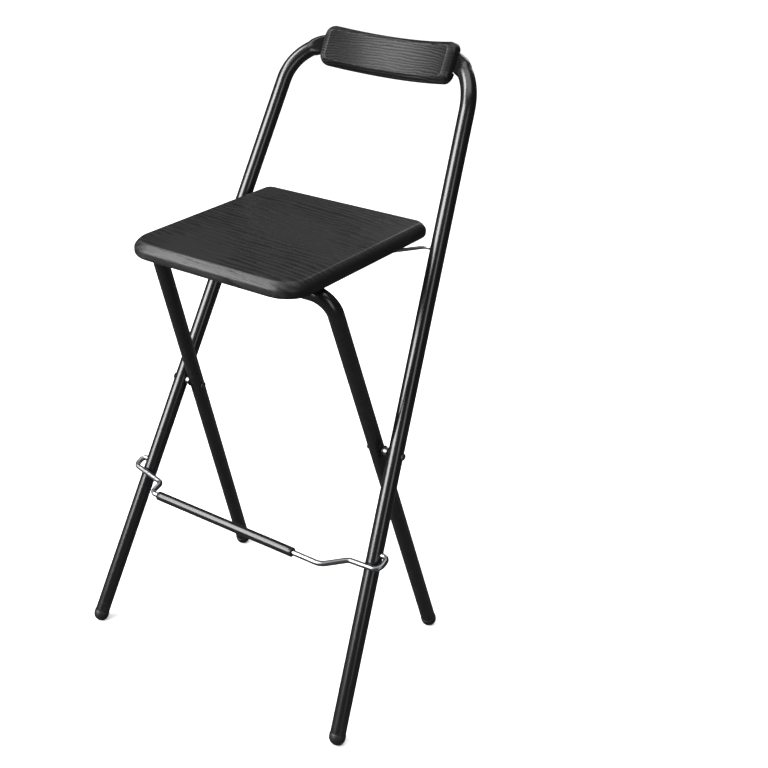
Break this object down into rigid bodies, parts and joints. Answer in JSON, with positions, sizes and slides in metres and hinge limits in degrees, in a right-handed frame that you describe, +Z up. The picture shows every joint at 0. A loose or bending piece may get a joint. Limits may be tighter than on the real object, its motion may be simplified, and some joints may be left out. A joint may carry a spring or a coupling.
{
  "type": "folding bar stool",
  "caption": "Folding bar stool: crossed tube frames, wooden seat, curved wooden backrest, swinging wire footrest and a wire link under the seat.",
  "frame": {"origin": "the middle of the open stool seen from above, on the floor", "axes": "+Z up, the sitter faces -Y, +X to the right seen from the front"},
  "size_m": [0.4682, 0.4586, 0.8735],
  "materials": {
    "enamel": "gloss powder coat",
    "wood": "black stained, satin",
    "zinc": "bright zinc plate",
    "dull_zinc": "dull zinc plate",
    "black_plastic": "matt"
  },
  "bodies": {
    "back": {"back_frame": "enamel", "backrest_board": "wood", "backrest_screw_left": "zinc", "backrest_screw_right": "zinc", "front_foot_cap_left": "black_plastic", "front_foot_cap_right": "black_plastic", "pivot_rivet_left": "zinc", "pivot_rivet_right": "zinc", "pivot_spacer_left": "zinc", "pivot_spacer_right": "zinc", "pivot_washer_left": "black_plastic", "pivot_washer_right": "black_plastic"},
    "rear_legs": {"seat_frame": "enamel", "rear_foot_cap_left": "black_plastic", "rear_foot_cap_right": "black_plastic"},
    "seat": {"seat_board": "wood", "hinge_clip_left": "dull_zinc", "hinge_clip_right": "dull_zinc", "link_clip_left": "dull_zinc", "link_clip_right": "dull_zinc", "hinge_clip_screw_left_front": "zinc", "hinge_clip_screw_left_rear": "zinc", "hinge_clip_screw_right_front": "zinc", "hinge_clip_screw_right_rear": "zinc", "link_clip_screw_left_front": "zinc", "link_clip_screw_left_rear": "zinc", "link_clip_screw_right_front": "zinc", "link_clip_screw_right_rear": "zinc"},
    "link": {"link_wire": "zinc"},
    "footrest": {"footrest_wire": "dull_zinc", "footrest_sleeve": "black_plastic"}
  },
  "joints": [
    {"name": "fold", "type": "hinge", "parent": "back", "child": "rear_legs", "pos_m": [0, -0.05307, 0.36691], "axis": [-1, 0, 0], "range_deg": [0, 46]},
    {"name": "seat_tilt", "type": "hinge", "parent": "rear_legs", "child": "seat", "pos_m": [0, -0.15411, 0.6165], "axis": [1, 0, 0], "range_deg": [0, 114]},
    {"name": "link_swing", "type": "hinge", "parent": "seat", "child": "link", "pos_m": [0, -0.03895, 0.625], "axis": [-1, 0, 0], "range_deg": [0, 170.2]},
    {"name": "footrest_swing", "type": "hinge", "parent": "back", "child": "footrest", "pos_m": [0, -0.11026, 0.24308], "axis": [-1, 0, 0], "range_deg": [0, 91.5]}
  ],
  "couplings": [
    {"joint": "seat_tilt", "follows": "fold", "ratio": 2.4779},
    {"joint": "link_swing", "follows": "fold", "ratio": 3.6994}
  ]
}
